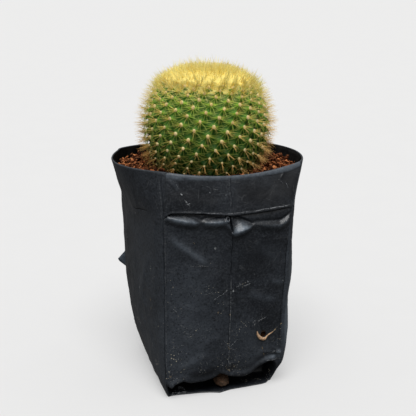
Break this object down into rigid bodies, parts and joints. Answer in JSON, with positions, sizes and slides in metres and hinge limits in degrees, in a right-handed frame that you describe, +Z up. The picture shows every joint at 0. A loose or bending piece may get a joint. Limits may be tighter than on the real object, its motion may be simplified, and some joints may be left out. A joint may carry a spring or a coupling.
{
  "type": "potted globe cactus",
  "caption": "Small globe cactus with spiral tubercles, woolly areoles and a golden spiny crown, standing in soil in a soft black nursery grow bag.",
  "frame": {"origin": "on the ground, under the middle of the whole outline", "axes": "+Z up along the plant, -Y out of the side of the bag that has the tuck below its rim, +X to the right of that side"},
  "size_m": [0.1262, 0.104, 0.2137],
  "materials": {
    "bag_film": "satin",
    "soil": "matte",
    "stem_skin": "satin",
    "spines": "matte"
  },
  "bodies": {
    "root": {"grow_bag": "bag_film", "soil_mix": "soil", "cactus_stem": "stem_skin", "crown_spines": "spines"}
  },
  "joints": []
}
